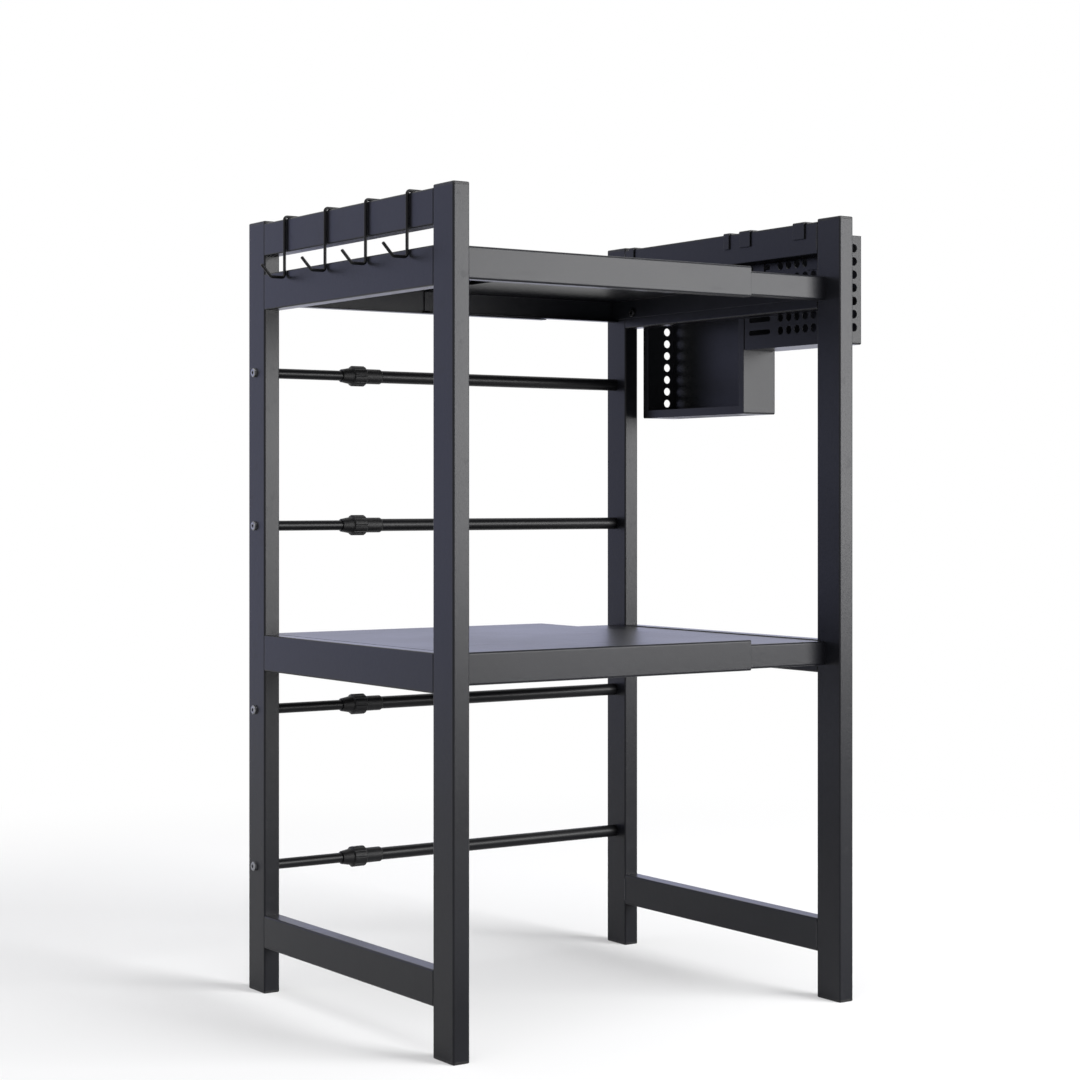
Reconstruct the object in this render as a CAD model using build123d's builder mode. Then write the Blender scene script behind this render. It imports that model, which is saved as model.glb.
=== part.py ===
from build123d import *
import os

# A kitchen rack of black steel tube that is drawn out sideways to fit its place.
# Two welded side frames stand apart on tray shelves that slide one inside the other,
# and on four rods at the back that slide in sleeves and are held by twist collars.
# Millimetres, +Z up, front towards -Y. The origin is on the floor, midway between the
# outermost points of the whole rack.

# Frame, at the width to which it is drawn out here
frame_width = 541.0
frame_depth = 454.0
frame_height = 900.0

# Tube of the side frames: posts on edge, rails of the same width let in between them
post_depth = 40.0
tube_width = 20.0
tube_wall = 1.2
tube_corner = 2.0
guard_rail_height = 38.0
guard_rail_rise = 59.0          # top of the guard rail above the upper shelf
base_rail_height = 38.0
base_rail_clearance = 53.0      # floor to the underside of the base rail
left_rail_height = 42.0
right_rail_height = 38.0        # lower than the left ones, as the inner tray is
middle_shelf_top = 417.5

# Moulded caps and feet pushed into the ends of the posts
cap_plate = 3.0
cap_edge = 0.9
plug_length = 14.0
plug_wall = 1.6
plug_clearance = 0.25
plug_rib = 1.2
plug_rib_proud = 0.2
plug_first_rib = 2.0            # underside of the plate to the first rib
plug_rib_pitch = 4.0
plug_ribs = 3
plug_corner = 0.9

# Tray shelves, folded from sheet: the outer one on the left, the inner one on the right
tray_sheet = 1.2
tray_bend = 2.4
tray_front_inset = 24.0         # posts' front faces to the tray's front face
tray_rear_inset = 8.0
outer_tray_length = 390.0
outer_tray_height = 34.5
inner_tray_length = 285.0
inner_tray_height = 27.5
tray_return = 14.0
tray_slide_clearance = 0.5
flange_corner_gap = 2.0
tray_bolt_inset = 58.0          # posts' outer faces to the bolts, front and rear
tray_bolt_drop = 23.0           # shelf top to the bolts

# Fasteners
bolt_shank = 6.0
bolt_hole = 6.4
bolt_head = 10.5
bolt_head_height = 3.2
bolt_head_edge = 0.9
bolt_socket = 4.0               # across the flats
bolt_socket_depth = 2.0
bolt_thread_clearance = 0.1
tray_bolt_reach = 9.0
rod_bolt_reach = 12.0           # how far a bolt goes into the rod's end

# Rods at the back: each slides in a sleeve
rod_rear_inset = 16.0
rod_diameter = 12.0
rod_wall = 1.5
rod_length = 384.0
rod_end_chamfer = 0.8
rod_plug = 16.0
sleeve_diameter = 15.0
sleeve_length = 381.4
rod_slide_clearance = 0.3
bottom_rod_height = 145.5
lower_rod_drop = 88.5           # below the middle shelf's top
upper_rod_rise = 127.0          # above the middle shelf's top
top_rod_drop = 114.0            # below the upper shelf's top

# Twist collar round the mouth of each sleeve, and the split cone that it squeezes
collar_nose_length = 13.0
collar_mouth_diameter = 15.5
collar_nose_diameter = 20.0     # where it meets the grip
collar_grip_length = 18.0
collar_grip_diameter = 24.5
collar_skirt_length = 22.5
collar_skirt_diameter = 18.0
collar_shoulder = 1.5
collar_clearance = 0.3
collar_chamfer = 1.2
collar_flutes = 10
collar_flute_radius = 1.6
collar_flute_depth = 0.9
cone_length = 9.0
cone_small_diameter = 14.0
cone_slit = 1.6

# Wire hooks on the left guard rail
hook_wire = 3.5
hook_clearance = 0.25
hook_inner_leg = 18.0
hook_outer_leg = 67.5           # guard rail's top to the arm
hook_arm = 17.0
hook_tip_out = 12.5
hook_tip_up = 13.7
hook_bend = 3.6
hook_end_chamfer = 0.7
hook_places = (88.0, 175.0, 265.0, 360.5)   # from the posts' front faces

# Holders that hang outside the right guard rail
holder_reach = 51.0             # posts' outer faces to the holders' outer faces
holder_sheet = 1.2
holder_corner = 2.2
holder_drop = 12.0              # guard rail's top to the holders' rim
hanger_sheet = 1.5
hanger_clearance = 0.3
hanger_bend = 2.0
hanger_inner_leg = 18.0
hanger_foot = 40.0              # how far a hanger runs down the back of its holder

# Utensil basket, in front
basket_start = 43.0
basket_length = 155.0
basket_height = 127.6
basket_hanger_width = 20.0
basket_hanger_inset = 18.0
hole_diameter = 10.0
hole_pitch = 15.45
hole_column_pitch = 15.0
hole_edge = 11.5                # outer edge to the column of holes
hole_top_drop = 15.0            # rim to the first row
panel_band = 14.0               # plain strip kept along the foot of a perforated panel
panel_slot_length = 40.0
panel_slot_inset = 8.0
panel_slot_height = 6.0
panel_column_inset = 13.0

# Board holder, behind it
holder_gap = 2.0
board_rear_inset = 50.0         # posts' rear faces to the holder's rear wall
board_holder_height = 205.0
board_lip = 10.0
drain_slot_width = 10.0
drain_slot_inset = 24.0
drain_slot_offset = 11.0        # holder's middle line to each slot

# Places worked out from the sizes above
hook_tip_length = (hook_tip_out**2 + hook_tip_up**2) ** 0.5
hook_tip_out_share = hook_tip_out / hook_tip_length
hook_tip_up_share = hook_tip_up / hook_tip_length
hook_end_flat = (hook_wire / 2 - hook_end_chamfer) * hook_tip_up_share
hook_end_rim = hook_wire / 2 * hook_tip_up_share - hook_end_chamfer * hook_tip_out_share
hook_end_reach = max(hook_end_flat, hook_end_rim)
hook_reach = hook_clearance + hook_wire / 2 + hook_arm + hook_tip_out + hook_end_reach
left_face = hook_reach - (hook_reach + frame_width + holder_reach) / 2
right_face = left_face + frame_width
left_inner = left_face + tube_width
right_inner = right_face - tube_width
left_middle = left_face + tube_width / 2
right_middle = right_face - tube_width / 2
front_face = -frame_depth / 2
rear_face = frame_depth / 2
front_post_y = front_face + post_depth / 2
rear_post_y = rear_face - post_depth / 2
rail_start = front_face + post_depth
rail_length = frame_depth - 2 * post_depth
tube_top = frame_height - cap_plate
tube_length = frame_height - 2 * cap_plate
guard_rail_top = tube_top
upper_shelf_top = guard_rail_top - guard_rail_rise
tray_depth = frame_depth - tray_front_inset - tray_rear_inset
tray_middle_y = front_face + tray_front_inset + tray_depth / 2
rod_y = rear_face - rod_rear_inset
sleeve_bore = rod_diameter + 2 * rod_slide_clearance
sleeve_mouth = right_inner - sleeve_length
rod_heights = {
    "bottom": bottom_rod_height,
    "lower": middle_shelf_top - lower_rod_drop,
    "upper": middle_shelf_top + upper_rod_rise,
    "top": upper_shelf_top - top_rod_drop,
}
shelf_tops = {"middle": middle_shelf_top, "upper": upper_shelf_top}
tray_bolt_places = (front_face + tray_bolt_inset, rear_face - tray_bolt_inset)

os.makedirs("parts", exist_ok=True)


def finish(piece, name):
    """Label a finished piece and write it to its own file."""
    piece.part.label = name
    export_step(piece.part, f"parts/{name}.step")


def level(x, y, z):
    """A plane that faces up, with its origin at the point given."""
    return Plane(origin=(x, y, z))


def facing_x(x, y, z):
    """A plane that faces +X: its own x runs along +Y and its own y up."""
    return Plane(origin=(x, y, z), x_dir=(0, 1, 0), z_dir=(1, 0, 0))


def facing_rear(x, y, z):
    """A plane that faces +Y: its own x runs along -X and its own y up."""
    return Plane(origin=(x, y, z), x_dir=(-1, 0, 0), z_dir=(0, 1, 0))


def facing_front(x, y, z):
    """A plane that faces -Y: its own x runs along +X and its own y up."""
    return Plane(origin=(x, y, z), x_dir=(1, 0, 0), z_dir=(0, -1, 0))


def tube_section(width, height):
    """The hollow section of rectangular tube, on the sketch that is open."""
    RectangleRounded(width, height, tube_corner)
    RectangleRounded(
        width - 2 * tube_wall, height - 2 * tube_wall, tube_corner - tube_wall, mode=Mode.SUBTRACT
    )


def make_post(name, x, y, bolt_heights):
    """A post, with clear holes across it where the rods are bolted on."""
    with BuildPart() as post:
        with BuildSketch(level(x, y, cap_plate)):
            tube_section(tube_width, post_depth)
        extrude(amount=tube_length)
        if bolt_heights:
            with BuildSketch(facing_x(x, rod_y, 0)):
                with Locations(*[(0, height) for height in bolt_heights]):
                    Circle(bolt_hole / 2)
            extrude(amount=tube_width, both=True, mode=Mode.SUBTRACT)
    finish(post, name)


def make_rail(name, x, foot, height, bolt_side=0, bolt_height=0.0):
    """A rail let in between two posts; bolt_side is +1 or -1 where tray bolts enter it."""
    with BuildPart() as rail:
        with BuildSketch(facing_rear(x, rail_start, foot + height / 2)):
            tube_section(tube_width, height)
        extrude(amount=rail_length)
        if bolt_side:
            with BuildSketch(facing_x(x, 0, bolt_height)):
                with Locations(*[(y, 0) for y in tray_bolt_places]):
                    Circle(bolt_hole / 2)
            extrude(amount=bolt_side * tube_width, mode=Mode.SUBTRACT)
    finish(rail, name)


def make_cap(name, x, y, end, direction):
    """A cap on a tube's end: end is the tube's end height, direction +1 up or -1 down."""
    plug_width = tube_width - 2 * (tube_wall + plug_clearance)
    plug_depth = post_depth - 2 * (tube_wall + plug_clearance)
    with BuildPart() as cap:
        with BuildSketch(level(x, y, end)):
            RectangleRounded(tube_width, post_depth, tube_corner)
        extrude(amount=direction * cap_plate)
        outer_face = cap.faces().sort_by(Axis.Z)[-1 if direction > 0 else 0]
        chamfer(outer_face.edges(), cap_edge)
        with BuildSketch(level(x, y, end)) as plug:
            Rectangle(plug_width, plug_depth)
            chamfer(plug.vertices(), plug_corner)
            Rectangle(plug_width - 2 * plug_wall, plug_depth - 2 * plug_wall, mode=Mode.SUBTRACT)
        extrude(amount=-direction * plug_length)
        for rib in range(plug_ribs):
            rib_start = end - direction * (plug_first_rib + rib * plug_rib_pitch)
            with BuildSketch(level(x, y, rib_start)) as ring:
                Rectangle(plug_width + 2 * plug_rib_proud, plug_depth + 2 * plug_rib_proud)
                chamfer(ring.vertices(), plug_corner)
                Rectangle(plug_width - plug_wall, plug_depth - plug_wall, mode=Mode.SUBTRACT)
            extrude(amount=-direction * plug_rib)
    finish(cap, name)


def make_bolts(name, seat_x, places, direction, reach):
    """Bolts whose heads stand on the plane x = seat_x and whose shanks run the other way."""
    with BuildPart() as bolts:
        with BuildSketch(facing_x(seat_x, 0, 0)):
            with Locations(*places):
                Circle(bolt_head / 2)
        extrude(amount=direction * bolt_head_height)
        outer_face = bolts.faces().filter_by(Axis.X).group_by(Axis.X)[-1 if direction > 0 else 0]
        chamfer(outer_face.edges(), bolt_head_edge)
        with BuildSketch(facing_x(seat_x, 0, 0)):
            with Locations(*places):
                Circle(bolt_shank / 2)
        extrude(amount=-direction * reach)
        with BuildSketch(facing_x(seat_x + direction * bolt_head_height, 0, 0)):
            with Locations(*places):
                RegularPolygon(bolt_socket / 2, 6, major_radius=False)
        extrude(amount=-direction * bolt_socket_depth, mode=Mode.SUBTRACT)
    finish(bolts, name)


def make_tray(name, start, length, top, depth, height, flange_at, bolt_height):
    """A tray folded from sheet, open below, with a bolted flange at one end."""
    flange_height = height - 2 * tray_sheet - flange_corner_gap
    flange_width = depth - 2 * (tray_sheet + flange_corner_gap)
    with BuildPart() as tray:
        with BuildSketch(facing_x(start, tray_middle_y, top - height / 2)):
            RectangleRounded(depth, height, tray_bend)
            RectangleRounded(
                depth - 2 * tray_sheet, height - 2 * tray_sheet, tray_bend - tray_sheet, mode=Mode.SUBTRACT
            )
            with Locations((0, -height / 2)):
                Rectangle(depth - 2 * tray_return, 2 * tray_bend, mode=Mode.SUBTRACT)
        extrude(amount=length)
        with BuildSketch(facing_x(flange_at, tray_middle_y, top - tray_sheet - flange_height / 2)):
            Rectangle(flange_width, flange_height)
        extrude(amount=tray_sheet)
        with BuildSketch(facing_x(flange_at, 0, bolt_height)):
            with Locations(*[(y, 0) for y in tray_bolt_places]):
                Circle(bolt_hole / 2)
        extrude(amount=tray_sheet, mode=Mode.SUBTRACT)
    finish(tray, name)


def make_rod(name, height):
    """A rod bored out from its right end, and tapped at its left end for its bolt."""
    with BuildPart() as rod:
        with BuildSketch(facing_x(left_inner, rod_y, height)):
            Circle(rod_diameter / 2)
        extrude(amount=rod_length)
        chamfer(rod.faces().sort_by(Axis.X)[-1].edges(), rod_end_chamfer)
        with BuildSketch(facing_x(left_inner + rod_length, rod_y, height)):
            Circle(rod_diameter / 2 - rod_wall)
        extrude(amount=rod_plug - rod_length, mode=Mode.SUBTRACT)
        with BuildSketch(facing_x(left_inner, rod_y, height)):
            Circle(bolt_shank / 2 + bolt_thread_clearance)
        extrude(amount=rod_plug, mode=Mode.SUBTRACT)
    finish(rod, name)


def make_sleeve(name, height):
    """The tube that a rod slides in, plugged and tapped at its right end for its bolt."""
    with BuildPart() as sleeve:
        with BuildSketch(facing_x(right_inner, rod_y, height)):
            Circle(sleeve_diameter / 2)
        extrude(amount=-sleeve_length)
        with BuildSketch(facing_x(sleeve_mouth, rod_y, height)):
            Circle(sleeve_bore / 2)
        extrude(amount=sleeve_length - rod_plug, mode=Mode.SUBTRACT)
        with BuildSketch(facing_x(right_inner, rod_y, height)):
            Circle(bolt_shank / 2 + bolt_thread_clearance)
        extrude(amount=-rod_plug, mode=Mode.SUBTRACT)
    finish(sleeve, name)


def make_cone(name, height):
    """The split cone of nylon that grips the rod when the collar is twisted."""
    with BuildPart() as cone:
        with BuildSketch(facing_front(cone_start, rod_y, height)):
            with BuildLine():
                Polyline(
                    (0, sleeve_bore / 2),
                    (0, cone_small_diameter / 2),
                    (cone_length, sleeve_diameter / 2),
                    (cone_length, sleeve_bore / 2),
                    close=True,
                )
            make_face()
        revolve(axis=Axis((cone_start, rod_y, height), (1, 0, 0)))
        with BuildSketch(facing_x(cone_start, rod_y, height)):
            with Locations((0, sleeve_diameter / 2)):
                Rectangle(cone_slit, sleeve_diameter)
        extrude(amount=cone_length, mode=Mode.SUBTRACT)
    finish(cone, name)


def make_collar(name, height):
    """A fluted collar: a tapered nose round the rod, a grip, and a skirt round the sleeve."""
    grip_start = collar_nose_length
    grip_end = grip_start + collar_grip_length
    skirt_end = grip_end + collar_skirt_length
    nose_bore = sleeve_bore / 2
    pocket_start = collar_nose_length + collar_shoulder
    pocket_bore = sleeve_diameter / 2 + collar_clearance
    mouth_radius = collar_mouth_diameter / 2
    nose_radius = collar_nose_diameter / 2
    grip_radius = collar_grip_diameter / 2
    skirt_radius = collar_skirt_diameter / 2
    with BuildPart() as collar:
        with BuildSketch(facing_front(collar_start, rod_y, height)):
            with BuildLine():
                Polyline(
                    (0, nose_bore),
                    (0, mouth_radius),
                    (grip_start, nose_radius),
                    (grip_start + collar_chamfer, grip_radius),
                    (grip_end - collar_chamfer, grip_radius),
                    (grip_end, grip_radius - collar_chamfer),
                    (grip_end, skirt_radius),
                    (skirt_end - collar_chamfer, skirt_radius),
                    (skirt_end, pocket_bore + collar_chamfer / 2),
                    (skirt_end, pocket_bore),
                    (pocket_start, pocket_bore),
                    (pocket_start, nose_bore),
                    close=True,
                )
            make_face()
        revolve(axis=Axis((collar_start, rod_y, height), (1, 0, 0)))
        with BuildSketch(facing_x(collar_start + grip_start, rod_y, height)):
            with PolarLocations(grip_radius + collar_flute_radius - collar_flute_depth, collar_flutes):
                Circle(collar_flute_radius)
        extrude(amount=collar_grip_length, mode=Mode.SUBTRACT)
    finish(collar, name)


def make_hook(name, y):
    """A hook bent from wire: over the rail, down its face, out and up to a tip."""
    inner_x = left_inner + hook_clearance + hook_wire / 2
    outer_x = left_face - hook_clearance - hook_wire / 2
    over = guard_rail_top + hook_clearance + hook_wire / 2
    arm = guard_rail_top - hook_outer_leg
    start = (inner_x, y, guard_rail_top - hook_inner_leg)
    with BuildPart() as hook:
        with BuildLine():
            FilletPolyline(
                start,
                (inner_x, y, over),
                (outer_x, y, over),
                (outer_x, y, arm),
                (outer_x - hook_arm, y, arm),
                (outer_x - hook_arm - hook_tip_out, y, arm + hook_tip_up),
                radius=hook_bend,
            )
        with BuildSketch(level(*start)):
            Circle(hook_wire / 2)
        sweep()
        ends = hook.faces().filter_by(GeomType.PLANE)
        chamfer(ends.edges(), hook_end_chamfer)
    finish(hook, name)


def make_hanger(name, y, width, foot):
    """A strip bent over the guard rail: it runs down the rail's outer face to its foot."""
    inner_x = right_inner - hanger_clearance - hanger_sheet
    outer_x = right_face + hanger_clearance
    top = guard_rail_top + hanger_clearance + hanger_sheet
    with BuildPart() as hanger:
        with BuildSketch(facing_rear(0, y - width / 2, 0)):
            with BuildLine():
                FilletPolyline(
                    (-inner_x, guard_rail_top - hanger_inner_leg),
                    (-inner_x, top),
                    (-outer_x - hanger_sheet, top),
                    (-outer_x - hanger_sheet, guard_rail_top - holder_drop - foot),
                    radius=hanger_bend,
                )
                Polyline(
                    (-outer_x - hanger_sheet, guard_rail_top - holder_drop - foot),
                    (-outer_x, guard_rail_top - holder_drop - foot),
                    (-outer_x, top - hanger_sheet),
                    (-inner_x - hanger_sheet, top - hanger_sheet),
                    (-inner_x - hanger_sheet, guard_rail_top - hanger_inner_leg),
                    (-inner_x, guard_rail_top - hanger_inner_leg),
                )
            make_face()
        extrude(amount=width)
    finish(hanger, name)


# Side frames: posts, rails, caps and feet
for side, x, inward, rail_height in (
    ("left", left_middle, 1, left_rail_height),
    ("right", right_middle, -1, right_rail_height),
):
    make_post(f"{side}_front_post", x, front_post_y, ())
    make_post(f"{side}_rear_post", x, rear_post_y, rod_heights.values())
    make_rail(f"{side}_guard_rail", x, guard_rail_top - guard_rail_height, guard_rail_height)
    make_rail(f"{side}_base_rail", x, base_rail_clearance, base_rail_height)
    for shelf, top in shelf_tops.items():
        rail_foot = top - left_rail_height
        make_rail(f"{side}_{shelf}_rail", x, rail_foot, rail_height, inward, top - tray_bolt_drop)
    for end, y in (("front", front_post_y), ("rear", rear_post_y)):
        make_cap(f"{side}_{end}_cap", x, y, tube_top, 1)
        make_cap(f"{side}_{end}_foot", x, y, cap_plate, -1)

# Shelves: the inner tray slides in the outer one and rests on its folded returns
inner_tray_depth = tray_depth - 2 * (tray_sheet + tray_slide_clearance)
inner_tray_start = right_inner - inner_tray_length
for shelf, top in shelf_tops.items():
    bolt_height = top - tray_bolt_drop
    inner_top = top - outer_tray_height + tray_sheet + tray_slide_clearance + inner_tray_height
    make_tray(
        f"{shelf}_outer_tray", left_inner, outer_tray_length, top,
        tray_depth, outer_tray_height, left_inner, bolt_height,
    )
    make_tray(
        f"{shelf}_inner_tray", inner_tray_start, inner_tray_length, inner_top,
        inner_tray_depth, inner_tray_height, right_inner - tray_sheet, bolt_height,
    )
tray_bolts = [(y, top - tray_bolt_drop) for y in tray_bolt_places for top in shelf_tops.values()]
make_bolts("left_tray_bolts", left_inner + tray_sheet, tray_bolts, 1, tray_bolt_reach)
make_bolts("right_tray_bolts", right_inner - tray_sheet, tray_bolts, -1, tray_bolt_reach)

# Rods, their sleeves, and the twist collars that lock them
cone_start = sleeve_mouth - collar_clearance - cone_length
collar_start = cone_start - collar_clearance - collar_shoulder - collar_nose_length
for place, height in rod_heights.items():
    make_rod(f"{place}_rod", height)
    make_sleeve(f"{place}_sleeve", height)
    make_cone(f"{place}_cone", height)
    make_collar(f"{place}_collar", height)
rod_bolts = [(rod_y, height) for height in rod_heights.values()]
make_bolts("left_rod_bolts", left_face, rod_bolts, -1, tube_width + rod_bolt_reach)
make_bolts("right_rod_bolts", right_face, rod_bolts, 1, tube_width + rod_bolt_reach)

# Hooks
for number, place in enumerate(hook_places, start=1):
    make_hook(f"hook_{number}", front_face + place)

# Holders on the right: each is a folded shell with panels welded to its long sides
holder_inner = right_face + hanger_clearance + hanger_sheet
holder_outer = right_face + holder_reach
holder_width = holder_outer - holder_inner
holder_middle = holder_inner + holder_width / 2
holder_rim = guard_rail_top - holder_drop
basket_front = front_face + basket_start
basket_rear = basket_front + basket_length
basket_foot = holder_rim - basket_height
board_front = basket_rear + holder_gap
board_rear = rear_face - board_rear_inset
board_foot = holder_rim - board_holder_height


def hole_rows(rim, foot):
    """Heights of the rows of holes from just below the rim down to the plain foot."""
    count = int((rim - hole_top_drop - foot - panel_band - hole_diameter / 2) / hole_pitch) + 1
    return [rim - hole_top_drop - row * hole_pitch for row in range(count)]


def make_shell(name, front, rear, foot, perforated_end, lip=0.0):
    """Front wall, floor and rear wall folded from one sheet; holes in the end that shows."""
    start = holder_inner + holder_sheet
    height = holder_rim - foot
    with BuildPart() as shell:
        with BuildSketch(facing_x(start, (front + rear) / 2, foot)):
            with Locations((0, height / 2)):
                Rectangle(rear - front, height)
            with Locations((0, height / 2 + holder_sheet)):
                Rectangle(rear - front - 2 * holder_sheet, height, mode=Mode.SUBTRACT)
        extrude(amount=holder_width - 2 * holder_sheet)
        folds = shell.edges().filter_by(Axis.X).group_by(Axis.Z)[0]
        fillet(folds, holder_corner)
        if lip:
            with BuildSketch(facing_x(start, (front + rear) / 2, foot)) as lips:
                with Locations((0, height / 2)):
                    Rectangle(rear - front, height)
                fillet(lips.vertices().group_by(Axis.Z)[0], holder_corner)
                with Locations((0, height / 2 + lip)):
                    Rectangle(rear - front - 2 * lip, height, mode=Mode.SUBTRACT)
            extrude(amount=-holder_sheet)
            with BuildSketch(level(holder_middle, (front + rear) / 2, foot)):
                with Locations((-drain_slot_offset, 0), (drain_slot_offset, 0)):
                    SlotOverall(rear - front - 2 * drain_slot_inset, drain_slot_width, rotation=90)
            extrude(amount=holder_sheet, mode=Mode.SUBTRACT)
        with BuildSketch(facing_front(holder_outer - hole_edge, perforated_end, 0)):
            with Locations(*[(0, height) for height in hole_rows(holder_rim, foot)]):
                Circle(hole_diameter / 2)
        extrude(amount=holder_sheet, both=True, mode=Mode.SUBTRACT)
    finish(shell, name)


def make_panel(name, x, front, rear, foot, perforated=False):
    """A flat side of a holder: plain, or with rows of round holes, each ended by a long slot."""
    slot_middle = rear - panel_slot_inset - panel_slot_length / 2
    holes_end = slot_middle - panel_slot_length / 2 - hole_column_pitch / 2
    columns = int((holes_end - front - panel_column_inset) / hole_column_pitch) + 1
    rows = hole_rows(holder_rim, foot)
    places = [
        (front + panel_column_inset + column * hole_column_pitch, row)
        for column in range(columns)
        for row in rows
    ]
    with BuildPart() as panel:
        with BuildSketch(facing_x(x, 0, 0)):
            with Locations(((front + rear) / 2, (holder_rim + foot) / 2)):
                Rectangle(rear - front, holder_rim - foot)
            if perforated:
                with Locations(*places):
                    Circle(hole_diameter / 2, mode=Mode.SUBTRACT)
                with Locations(*[(slot_middle, row) for row in rows]):
                    SlotOverall(panel_slot_length, panel_slot_height, mode=Mode.SUBTRACT)
        extrude(amount=holder_sheet)
        bottom_corners = panel.edges().filter_by(Axis.X).group_by(Axis.Z)[0]
        fillet(bottom_corners, holder_corner)
    finish(panel, name)


make_shell("basket_shell", basket_front, basket_rear, basket_foot, basket_front)
make_panel("basket_inner_panel", holder_inner, basket_front, basket_rear, basket_foot, perforated=True)
make_panel("basket_outer_panel", holder_outer - holder_sheet, basket_front, basket_rear, basket_foot)
basket_hanger_offset = basket_hanger_inset + basket_hanger_width / 2
make_hanger("basket_front_hanger", basket_front + basket_hanger_offset, basket_hanger_width, hanger_foot)
make_hanger("basket_rear_hanger", basket_rear - basket_hanger_offset, basket_hanger_width, hanger_foot)

make_shell("board_shell", board_front, board_rear, board_foot, board_rear, board_lip)
make_panel("board_outer_panel", holder_outer - holder_sheet, board_front, board_rear, board_foot)
make_hanger("board_front_hanger", board_front + board_lip / 2, board_lip, hanger_foot)
make_hanger("board_rear_hanger", board_rear - board_lip / 2, board_lip, hanger_foot)
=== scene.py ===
import bpy
import math
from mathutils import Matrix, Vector


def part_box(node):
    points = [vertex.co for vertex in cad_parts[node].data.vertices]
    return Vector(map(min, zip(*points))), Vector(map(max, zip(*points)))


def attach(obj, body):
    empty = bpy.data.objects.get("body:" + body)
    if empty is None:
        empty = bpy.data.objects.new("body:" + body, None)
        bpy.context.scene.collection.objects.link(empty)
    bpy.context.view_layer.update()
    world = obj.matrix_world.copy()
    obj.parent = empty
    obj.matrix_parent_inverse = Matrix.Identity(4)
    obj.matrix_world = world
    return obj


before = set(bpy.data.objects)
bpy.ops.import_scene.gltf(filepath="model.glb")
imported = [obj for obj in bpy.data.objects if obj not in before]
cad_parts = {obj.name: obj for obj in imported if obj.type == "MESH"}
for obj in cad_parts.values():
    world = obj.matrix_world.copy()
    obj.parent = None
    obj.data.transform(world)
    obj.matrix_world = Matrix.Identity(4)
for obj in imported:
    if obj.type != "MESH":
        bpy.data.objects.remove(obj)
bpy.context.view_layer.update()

# The camera. It looks level, at desk height, at the rack's left front corner, so that
# both the front and the left side frame show, and its picture is square.
eye = (-1.5259, -2.2164, 0.5766)
turn = math.radians(34.21)
focal_pixels = 2309.5
image_side = 1080
film = 36.0
level_row = 498.5

lens = bpy.data.cameras.new("camera")
lens.sensor_fit = "HORIZONTAL"
lens.sensor_width = film
lens.lens = focal_pixels * film / image_side
lens.shift_y = (level_row - image_side / 2) / image_side
lens.clip_start = 0.05
lens.clip_end = 60
camera = bpy.data.objects.new("camera", lens)
camera.location = eye
camera.rotation_euler = (math.pi / 2, 0, -turn)
bpy.context.scene.collection.objects.link(camera)
bpy.context.scene.camera = camera
bpy.context.scene.view_settings.view_transform = "Standard"


# The studio. The rack stands on a matt white floor that keeps its soft shadow, and the
# floor fades into the even white room around it. Large soft lamps light the rack.
class Signal:
    """A node's output socket that can be used in Python expressions."""

    def __init__(self, finish, socket):
        self.finish = finish
        self.socket = socket

    def math(self, operation, *others, clamp=False):
        values = dict(enumerate((self, *others)))
        return self.finish.node("ShaderNodeMath", {"operation": operation, "use_clamp": clamp}, values)

    def __add__(self, other):
        return self.math("ADD", other)

    def __mul__(self, other):
        return self.math("MULTIPLY", other)

    def __sub__(self, other):
        return self.math("SUBTRACT", other)

    def __rsub__(self, other):
        return self * -1 + other

    __radd__ = __add__
    __rmul__ = __mul__

    def ramp(self, low, high, to_low=0.0, to_high=1.0):
        """Runs smoothly from to_low to to_high as the signal goes from low to high."""
        values = {0: self, 1: low, 2: high, 3: to_low, 4: to_high}
        return self.finish.node("ShaderNodeMapRange", {"interpolation_type": "SMOOTHSTEP"}, values)

    def clamped(self):
        return self.math("ADD", 0.0, clamp=True)


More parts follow.
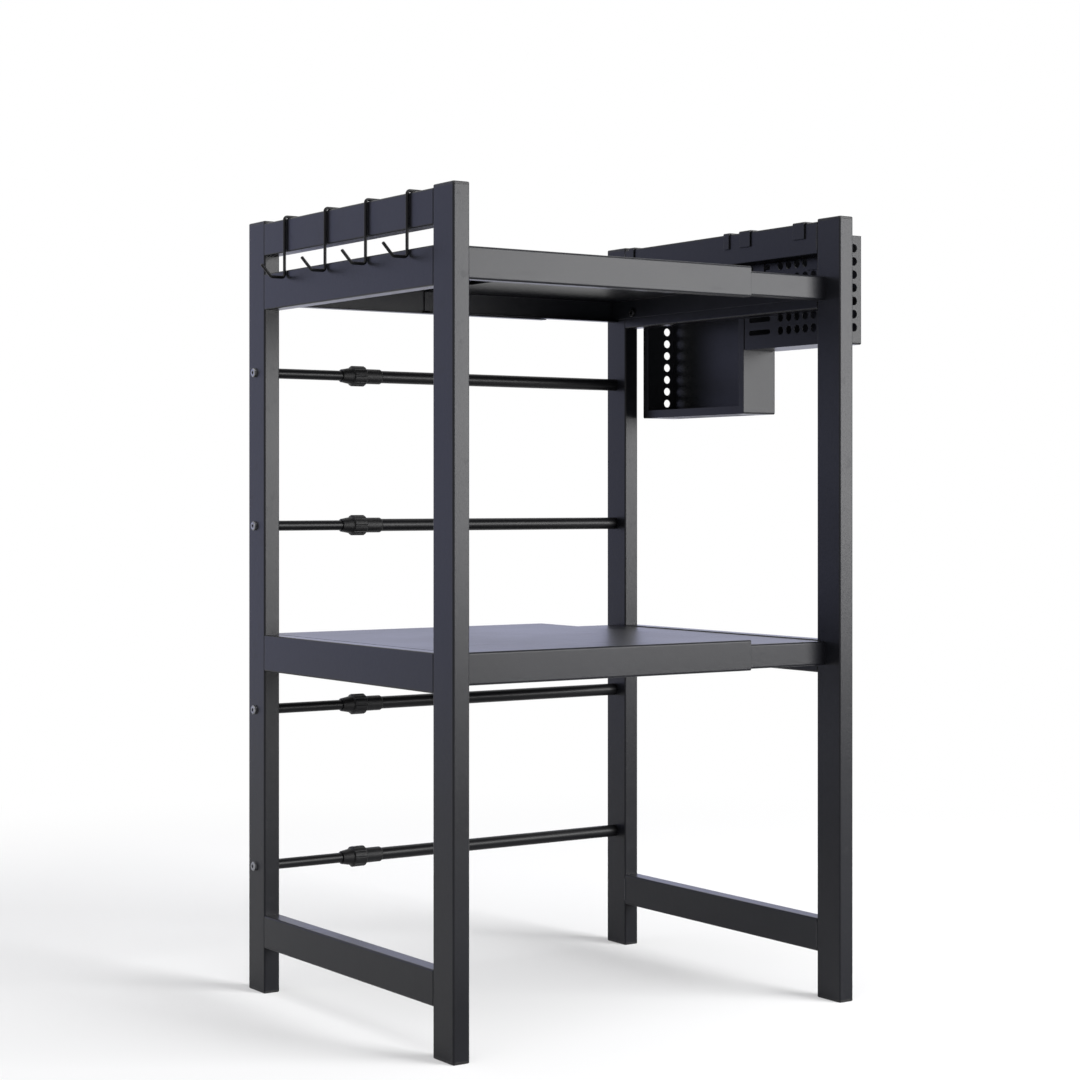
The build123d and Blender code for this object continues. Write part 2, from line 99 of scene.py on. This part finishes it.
class Finish:
    """A material, or the room's white, built up from nodes."""

    def __init__(self, name, kind=bpy.data.materials):
        self.owner = kind.new(name)
        self.owner.use_nodes = True
        self.tree = self.owner.node_tree
        self.tree.nodes.clear()

    def node(self, kind, settings=None, values=None, output=None):
        """Adds a node and gives its first output in use, or the one that output names."""
        made = self.tree.nodes.new(kind)
        for key, setting in (settings or {}).items():
            setattr(made, key, setting)
        for key, value in (values or {}).items():
            socket = made.inputs[key]
            if isinstance(value, Signal):
                self.tree.links.new(value.socket, socket)
            else:
                socket.default_value = value
        found = [socket for socket in made.outputs if socket.enabled and output in (None, socket.name)]
        return Signal(self, found[0]) if found else None

    def place(self, stretch=(1, 1, 1)):
        """The place on the piece in metres, stretched along its axes."""
        where = self.node("ShaderNodeTexCoord", output="Object")
        if stretch == (1, 1, 1):
            return where
        return self.node("ShaderNodeVectorMath", {"operation": "MULTIPLY"}, {0: where, 1: stretch})

    def noise(self, scale, detail=2.0, rough=0.5, stretch=(1, 1, 1)):
        values = {"Vector": self.place(stretch), "Scale": scale, "Detail": detail, "Roughness": rough}
        return self.node("ShaderNodeTexNoise", {}, values)

    def mix(self, share, first, second):
        return self.node("ShaderNodeMix", {"data_type": "RGBA"}, {0: share, 6: first, 7: second})

    def rounded(self, radius):
        """The direction of the surface, with its edges rounded off by radius."""
        return self.node("ShaderNodeBevel", {"samples": 4}, {"Radius": radius})

    def edges(self, radius, cosines=(0.985, 0.86)):
        """1 on the edges of the piece, 0 on its faces: cosines are where an edge starts and is full."""
        sharp = self.node("ShaderNodeNewGeometry", output="True Normal")
        values = {0: self.rounded(radius), 1: sharp}
        return self.node("ShaderNodeVectorMath", {"operation": "DOT_PRODUCT"}, values).ramp(*cosines)

    def relief(self, height, strength, distance, rounding):
        values = {"Height": height, "Strength": strength, "Distance": distance}
        return self.node("ShaderNodeBump", {}, {**values, "Normal": self.rounded(rounding)})

    def surface(self, **values):
        named = {key.replace("_", " "): value for key, value in values.items()}
        self.output(self.node("ShaderNodeBsdfPrincipled", {}, named))
        return self.owner

    def output(self, shader, kind="ShaderNodeOutputMaterial"):
        self.node(kind, {}, {"Surface": shader})


white = (1, 1, 1, 1)
floor_white = (0.86, 0.86, 0.865, 1)
floor_reach = 14.0
floor_fade = (0.7, 1.9)
floor_glow = 0.35

floor_finish = Finish("studio_floor")
paper = floor_finish.node("ShaderNodeBsdfDiffuse", {}, {"Color": floor_white, "Roughness": 1.0})
glow = floor_finish.node("ShaderNodeEmission", {}, {"Color": white, "Strength": 1.0})
away = floor_finish.node("ShaderNodeVectorMath", {"operation": "LENGTH"}, {0: floor_finish.place((1, 1, 0))})
share = away.ramp(*floor_fade, floor_glow)
floor_finish.output(floor_finish.node("ShaderNodeMixShader", {}, {0: share, 1: paper, 2: glow}))

floor_corners = [(x * floor_reach, y * floor_reach, 0) for x, y in ((-1, -1), (1, -1), (1, 1), (-1, 1))]
floor_mesh = bpy.data.meshes.new("studio_floor")
floor_mesh.from_pydata(floor_corners, [], [(0, 1, 2, 3)])
floor_mesh.materials.append(floor_finish.owner)
floor = bpy.data.objects.new("studio_floor", floor_mesh)
bpy.context.scene.collection.objects.link(floor)

room_level = 0.30
room = Finish("white_room", bpy.data.worlds)
seen = room.node("ShaderNodeLightPath", output="Is Camera Ray")
for ray in ("Is Glossy Ray", "Is Transmission Ray"):
    seen = seen.math("MAXIMUM", room.node("ShaderNodeLightPath", output=ray))
room_strength = seen * (1 - room_level) + room_level
room_white = room.node("ShaderNodeBackground", {}, {"Color": white, "Strength": room_strength})
room.output(room_white, "ShaderNodeOutputWorld")
bpy.context.scene.world = room.owner


def soft_box(name, centre, target, width, height, power, colour=(1, 1, 1)):
    """A large soft lamp at centre that faces target."""
    lamp = bpy.data.lights.new(name, "AREA")
    lamp.shape = "RECTANGLE"
    lamp.size = width
    lamp.size_y = height
    lamp.energy = power
    lamp.color = colour
    stand = bpy.data.objects.new(name, lamp)
    stand.location = centre
    stand.rotation_euler = (Vector(centre) - Vector(target)).to_track_quat("Z", "Y").to_euler()
    bpy.context.scene.collection.objects.link(stand)


blue = (0.08, 0.16, 1.0)
soft_box("front_light", (1.30, -2.17, 0.93), (0.0, -0.2, 0.79), width=1.70, height=1.25, power=95)
soft_box("top_light", (-0.2, -0.4, 2.9), (0, 0, 0.4), width=2.2, height=2.2, power=40)
soft_box("left_light", (-1.75, 2.3, 0.87), (-0.2, 0, 0.56), width=1.5, height=1.7, power=5.3, colour=blue)
soft_box("rear_light", (1.9, 2.6, 0.75), (0.0, 0, 0.5), width=1.6, height=0.9, power=2.5, colour=blue)


# The two side frames: posts and rails of black steel tube, welded, ground and powder
# coated as one. The coat is satin, with a fine grain and a little orange peel, and it is
# slightly polished on the tube's edges, where it is coloured lighter: partly wear, partly
# a painted highlight.
grains_per_metre = 2600
specks_per_metre = 1100
clumps_per_metre = 620
waves_per_metre = 150
scuffs_per_metre = 60
clouds_per_metre = 5
cloud_span = (0.3, 0.7)
speck_span = (0.72, 0.78)
scuff_span = (0.58, 0.72)
cloud_share = 0.6
dark_tone = (0.80, 0.0)
light_tone = (1.25, 0.001)
# Lighter tone for wear on specks and scuffs, and on the edges for wear and a painted highlight.
wear_and_highlight_tone = (1.9, 0.016)
edge_wear_and_highlight = 0.35
worn_speck = 0.18
worn_scuff = 0.06
matt_cloud = 0.10
matt_grain = 0.08
matt_scuff = 0.06
polished_edge = 0.08
grain_height = 0.35
clump_height = 0.45
peel_height = 0.5
coat_edge = 0.0012
coat_rounding = 0.0006
coat_depth = 0.0004
coat_relief = 0.28
coat_ior = 1.27


def tint(colour, factor=1.0, lift=0.0):
    """A colour, or a darker or lighter tone of it, for a colour socket."""
    return tuple(part * factor + lift for part in colour) + (1,)


def powder_coat(name, colour, rough, grain=1.0, scuff=(1, 1, 1)):
    """A fine-grained satin powder coat over steel, its scuffs drawn out on the axis that scuff shrinks."""
    coat = Finish(name)
    fine = coat.noise(grains_per_metre, detail=2.0, rough=0.6)
    clumps = coat.noise(clumps_per_metre, detail=2.0, rough=0.5)
    waves = coat.noise(waves_per_metre, detail=1.0)
    clouds = coat.noise(clouds_per_metre, detail=3.0, rough=0.6)
    rubbed = coat.noise(scuffs_per_metre, detail=4.0, rough=0.7, stretch=scuff).ramp(*scuff_span)
    specks = coat.noise(specks_per_metre, detail=0.0).ramp(*speck_span)
    edge = coat.edges(coat_edge)
    tone_share = clouds.ramp(*cloud_span) * cloud_share + fine * (1 - cloud_share)
    shade = coat.mix(tone_share, tint(colour, *dark_tone), tint(colour, *light_tone))
    # Edges, specks and scuffs turn lighter: wear, and on the edges also a painted highlight.
    wear_and_highlight = edge * edge_wear_and_highlight + specks * worn_speck + rubbed * worn_scuff
    matt = clouds * matt_cloud + fine * matt_grain + rubbed * matt_scuff - edge * polished_edge
    height = fine * (grain_height * grain) + clumps * (clump_height * grain) + waves * peel_height
    return coat.surface(
        Base_Color=coat.mix(wear_and_highlight.clamped(), shade, tint(colour, *wear_and_highlight_tone)),
        Roughness=(matt + (rough - (matt_cloud + matt_grain) / 2)).clamped(),
        IOR=coat_ior,
        Normal=coat.relief(height, coat_relief, coat_depth, coat_rounding),
    )


def dress(material, *names):
    """Gives CAD nodes their finish."""
    for name in names:
        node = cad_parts[name]
        node.data.materials.clear()
        node.data.materials.append(material)


satin_black = (0.0082, 0.0085, 0.0110)
frame_coat = powder_coat("frame_coat", satin_black, rough=0.31)
for side in ("left", "right"):
    for tube in ("front_post", "rear_post", "guard_rail", "upper_rail", "middle_rail", "base_rail"):
        dress(frame_coat, f"{side}_{tube}")


# Welds: the joints are ground flush outside. Inside, where nobody looks, each end of the
# guard rails and base rails keeps its rippled bead, coated over with the frame.
bead_width = 0.0046
bead_proud = 0.0008
bead_sunk = 0.0003
bead_inset = 0.0035
bead_taper = 0.0024
bead_blunt = 0.05
bead_step = 0.0004
bead_columns = 8
ripple_length = 0.0019
ripple_share = 0.22
ripple_bow = 0.35
ripple_spread = 0.06
wander_width = 0.00018
wander_rate = 410
wander_start = 90


def weld_bead(name, body, face, inward, joint, low, high):
    """A rippled bead up a joint: face is the rails' inner face and joint the place along Y."""
    rows = round((high - low) / bead_step)
    points = []
    for row in range(rows + 1):
        rise = (high - low) * row / rows
        taper = min(1.0, min(rise, high - low - rise) / bead_taper + bead_blunt) ** 0.5
        wander = wander_width * math.sin(rise * wander_rate + joint * wander_start)
        for column in range(bead_columns + 1):
            across = 2 * column / bead_columns - 1
            phase = rise / ripple_length + ripple_bow * across * across
            swell = 1 - ripple_share + ripple_share * math.cos(2 * math.pi * phase)
            proud = bead_proud * (1 - across * across) * swell * taper - bead_sunk
            half = bead_width / 2 * taper * (1 - ripple_spread + ripple_spread * swell)
            points.append((face + inward * proud, joint + across * half + wander, low + rise))
    wide = bead_columns + 1
    ripples = []
    buried = [tuple(range(bead_columns, -1, -1)), tuple(range(rows * wide, rows * wide + wide))]
    for row in range(rows):
        first = row * wide
        buried.append((first, first + wide, first + wide + bead_columns, first + bead_columns))
        for corner in range(first, first + bead_columns):
            ripples.append((corner, corner + 1, corner + wide + 1, corner + wide))
    faces = ripples + buried
    mesh = bpy.data.meshes.new(name)
    mesh.from_pydata(points, [], faces if inward > 0 else [corners[::-1] for corners in faces])
    mesh.polygons.foreach_set("use_smooth", [True] * len(ripples) + [False] * len(buried))
    mesh.materials.append(frame_coat)
    bead = bpy.data.objects.new(name, mesh)
    bpy.context.scene.collection.objects.link(bead)
    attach(bead, body)


for side, inward in (("left", 1), ("right", -1)):
    for rail in ("guard", "base"):
        low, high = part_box(f"{side}_{rail}_rail")
        face = high[0] if inward > 0 else low[0]
        for end, joint in (("front", low[1]), ("rear", high[1])):
            name = f"{side}_{rail}_{end}_weld"
            weld_bead(name, f"{side}_frame", face, inward, joint, low[2] + bead_inset, high[2] - bead_inset)


# Caps and feet: moulded black plastic pushed into the posts' ends, with the fine even
# grain of a spark-eroded mould, a little polish on the edges and a painted highlight there.
mould_clouds_per_metre = 22
mould_dark = (0.8, 0.0)
mould_light = (1.35, 0.001)
mould_lit_edge = 0.3
mould_matt_cloud = 0.12
mould_polished_edge = 0.1
mould_cell_smoothness = 0.6
mould_edge = 0.0008
mould_rounding = 0.0004
mould_depth = 0.0004
mould_relief = 0.35
mould_ior = 1.32


def moulded(name, colour, rough, cells_per_metre):
    """Moulded plastic with an even mould grain."""
    plastic = Finish(name)
    pits = {"Vector": plastic.place(), "Scale": cells_per_metre, "Smoothness": mould_cell_smoothness}
    cells = plastic.node("ShaderNodeTexVoronoi", {"feature": "SMOOTH_F1"}, pits)
    clouds = plastic.noise(mould_clouds_per_metre, detail=3.0, rough=0.6)
    edge = plastic.edges(mould_edge)
    # The edges are drawn lighter in colour: a painted highlight.
    tone_share = (clouds.ramp(*cloud_span) * cloud_share + edge * mould_lit_edge).clamped()
    matt = clouds * mould_matt_cloud - edge * mould_polished_edge
    return plastic.surface(
        Base_Color=plastic.mix(tone_share, tint(colour, *mould_dark), tint(colour, *mould_light)),
        Roughness=(matt + (rough - mould_matt_cloud / 2)).clamped(),
        IOR=mould_ior,
        Normal=plastic.relief(cells, mould_relief, mould_depth, mould_rounding),
    )


cap_black = (0.0100, 0.0100, 0.0112)
cap_plastic = moulded("cap_plastic", cap_black, rough=0.40, cells_per_metre=1500)
for side in ("left", "right"):
    for end in ("front", "rear"):
        dress(cap_plastic, f"{side}_{end}_cap", f"{side}_{end}_foot")


# The shelves: trays folded from steel sheet, the inner one running in the outer one.
# The coat is the frame's, with faint drawing marks along the slide.
tray_coat = powder_coat("tray_coat", satin_black, rough=0.33, grain=0.8, scuff=(0.15, 1, 1))
for shelf in ("upper", "middle"):
    dress(tray_coat, f"{shelf}_outer_tray", f"{shelf}_inner_tray")


# The rods at the back and the sleeves that they slide in: thin tube, coated black, with
# lengthwise marks where one runs in the other.
rod_places = ("bottom", "lower", "upper", "top")
rod_black = (0.0060, 0.0060, 0.0070)
rod_coat = powder_coat("rod_coat", rod_black, rough=0.36, grain=0.6, scuff=(0.06, 1, 1))
for place in rod_places:
    dress(rod_coat, f"{place}_rod", f"{place}_sleeve")


# Twist collars: fluted grips of moulded black plastic round the sleeves' mouths. Each
# turns over a split cone of natural nylon, which it squeezes onto the rod.
collar_black = (0.0060, 0.0060, 0.0068)
nylon_white = (0.62, 0.61, 0.57)
collar_plastic = moulded("collar_plastic", collar_black, rough=0.46, cells_per_metre=1900)
nylon = moulded("nylon", nylon_white, rough=0.42, cells_per_metre=1300)
for place in rod_places:
    dress(collar_plastic, f"{place}_collar")
    dress(nylon, f"{place}_cone")


# Bolts with low round heads. Those that hold the rods are zinc plated, with a faint
# yellowish bloom in the plating; those inside the trays are blackened steel.
bolt_grains_per_metre = 3800
bolt_clouds_per_metre = 300
bolt_blooms_per_metre = 90
bloom_span = (0.45, 0.7)
bloom_share = 0.25
bolt_lit_edge = 0.5
bolt_matt_cloud = 0.15
bolt_matt_grain = 0.1
bolt_polished_edge = 0.08
bolt_edge = 0.0005
bolt_rounding = 0.0003
bolt_depth = 0.0003
bolt_relief = 0.25


def plated(name, dark, light, bloomed, rough):
    """Plated or blackened steel, clouded, with brighter edges: partly wear, partly a painted highlight."""
    steel = Finish(name)
    clouds = steel.noise(bolt_clouds_per_metre, detail=3.0, rough=0.6)
    fine = steel.noise(bolt_grains_per_metre, detail=1.0)
    bloom = steel.noise(bolt_blooms_per_metre, detail=2.0).ramp(*bloom_span)
    edge = steel.edges(bolt_edge)
    # The edges are drawn lighter in colour: partly wear, partly a painted highlight.
    tone_share = (clouds.ramp(*cloud_span) + edge * bolt_lit_edge).clamped()
    matt = clouds * bolt_matt_cloud + fine * bolt_matt_grain - edge * bolt_polished_edge
    return steel.surface(
        Base_Color=steel.mix(bloom * bloom_share, steel.mix(tone_share, tint(dark), tint(light)), tint(bloomed)),
        Metallic=1.0,
        Roughness=(matt + rough).clamped(),
        Normal=steel.relief(fine, bolt_relief, bolt_depth, bolt_rounding),
    )


zinc = plated(
    "zinc", dark=(0.14, 0.142, 0.15), light=(0.30, 0.305, 0.32),
    bloomed=(0.27, 0.25, 0.19), rough=0.30,
)
blackened = plated(
    "black_bolts", dark=(0.012, 0.012, 0.013), light=(0.05, 0.05, 0.055),
    bloomed=(0.03, 0.025, 0.02), rough=0.34,
)
dress(zinc, "left_rod_bolts", "right_rod_bolts")
dress(blackened, "left_tray_bolts", "right_tray_bolts")


# Hooks: steel wire, bent over the left guard rail and up again at the tip. They are
# dipped in a smooth black coat and only hang on the rail.
hook_black = (0.0040, 0.0040, 0.0048)
hook_coat = powder_coat("hook_coat", hook_black, rough=0.36, grain=0.4)
for number in (1, 2, 3, 4):
    dress(hook_coat, f"hook_{number}")


# Holders on the right guard rail: a perforated basket in front and a taller holder for
# boards behind it, of coated sheet, on strips bent over the rail.
holder_black = (0.0085, 0.0088, 0.0108)
holder_coat = powder_coat("holder_coat", holder_black, rough=0.33, grain=0.9)
for holder, pieces in (
    ("basket", ("shell", "inner_panel", "outer_panel", "front_hanger", "rear_hanger")),
    ("board", ("shell", "outer_panel", "front_hanger", "rear_hanger")),
):
    for piece in pieces:
        dress(holder_coat, f"{holder}_{piece}")
